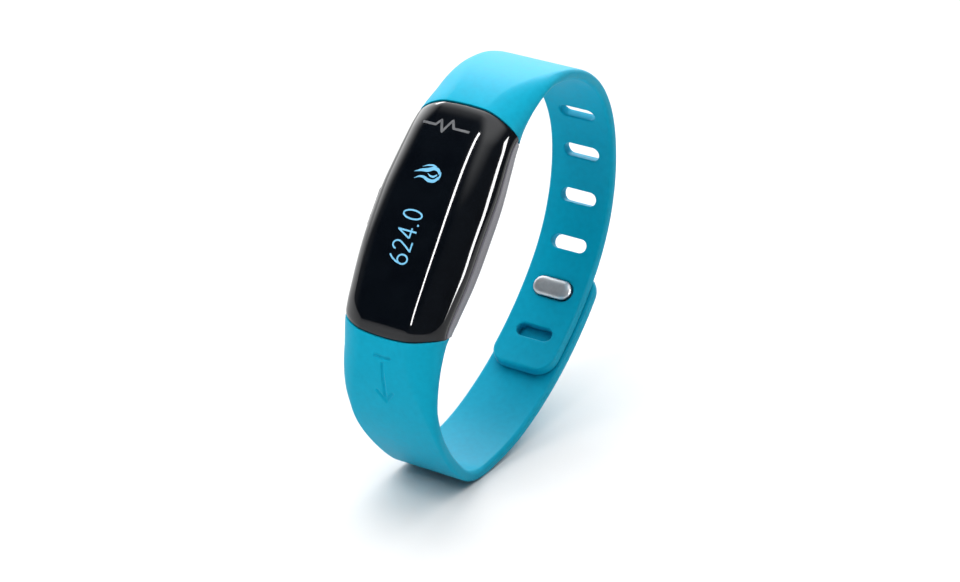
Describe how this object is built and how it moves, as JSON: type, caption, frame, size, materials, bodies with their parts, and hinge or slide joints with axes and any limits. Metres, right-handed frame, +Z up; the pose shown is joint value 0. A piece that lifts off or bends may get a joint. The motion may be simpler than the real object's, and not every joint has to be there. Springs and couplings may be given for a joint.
{
  "type": "fitness tracker band",
  "caption": "Closed wrist band with a slim glossy display module, a slotted upper strap, and a lower strap that buttons to it with a stud and pulls off a flat plug.",
  "frame": {"origin": "middle of the wrist opening", "axes": "+X across the band along the wrist, towards the side away from the button; +Z up as the band stands with its display leaning back, facing -Y"},
  "size_m": [0.0252, 0.0745, 0.0782],
  "materials": {
    "lens": "gloss",
    "housing": "gloss",
    "button": "satin",
    "silicone": "satin",
    "bond": "matte",
    "foam": "matte",
    "display_glass": "gloss",
    "polyimide": "satin",
    "circuit_board": "satin",
    "chip_resin": "matte",
    "crystal_metal": "satin",
    "antenna_ceramic": "matte",
    "steel": "satin",
    "stud_metal": "satin",
    "tungsten": "satin",
    "pouch": "satin",
    "wire": "satin",
    "switch_resin": "matte",
    "plunger_resin": "matte",
    "tongue_resin": "satin",
    "contact_gold": "polished",
    "insert_resin": "satin"
  },
  "bodies": {
    "module": {"front_lens": "lens", "module_housing": "housing", "lens_bond": "bond", "oled_panel": "display_glass", "oled_flex": "polyimide", "display_pad": "foam", "main_board": "circuit_board", "radio_chip": "chip_resin", "memory_chip": "chip_resin", "motion_sensor": "chip_resin", "charger_chip": "chip_resin", "crystal_can": "crystal_metal", "chip_antenna": "antenna_ceramic", "board_screws": "steel", "battery": "pouch", "battery_pad": "foam", "battery_leads": "wire", "motor_case": "steel", "motor_shaft": "steel", "button_seal": "bond", "button_switch": "switch_resin", "usb_tongue": "tongue_resin", "usb_contacts": "contact_gold", "strap_anchor": "insert_resin", "upper_strap_root": "silicone", "upper_strap_bend": "silicone", "lower_strap_bend": "silicone"},
    "upper_tail": {"tail_strap": "silicone"},
    "clasp_end": {"clasp_strap": "silicone", "clasp_stud": "stud_metal"},
    "pull_off_end": {"lower_strap_root": "silicone", "pocket_insert": "insert_resin"},
    "button": {"side_button": "button", "switch_plunger": "plunger_resin"},
    "motor_weight": {"motor_rotor": "tungsten"}
  },
  "joints": [
    {"name": "clasp_peel", "type": "hinge", "parent": "module", "child": "clasp_end", "pos_m": [0, 0.01148, -0.03046], "axis": [-1, 0, 0], "range_deg": [0, 60], "stiffness_Nm_per_rad": 0.04, "deforming": ["lower_strap_bend"]},
    {"name": "tail_flex", "type": "hinge", "parent": "module", "child": "upper_tail", "pos_m": [0, 0.03539, -0.00298], "axis": [-1, 0, 0], "range_deg": [0, 25], "stiffness_Nm_per_rad": 0.04, "deforming": ["upper_strap_bend"]},
    {"name": "strap_pull_off", "type": "slide", "parent": "module", "child": "pull_off_end", "axis": [0, -0.0785, -0.9969], "range_m": [0, 0.013], "deforming": ["lower_strap_bend"]},
    {"name": "button_press", "type": "slide", "parent": "module", "child": "button", "axis": [1, 0, 0], "range_m": [0, 0.00035], "stiffness_N_per_m": 2000, "springref_m": -0.0001},
    {"name": "motor_spin", "type": "hinge", "parent": "module", "child": "motor_weight", "pos_m": [0, -0.01165, 0.02678], "axis": [0, -0.8039, 0.5948], "continuous": true}
  ]
}
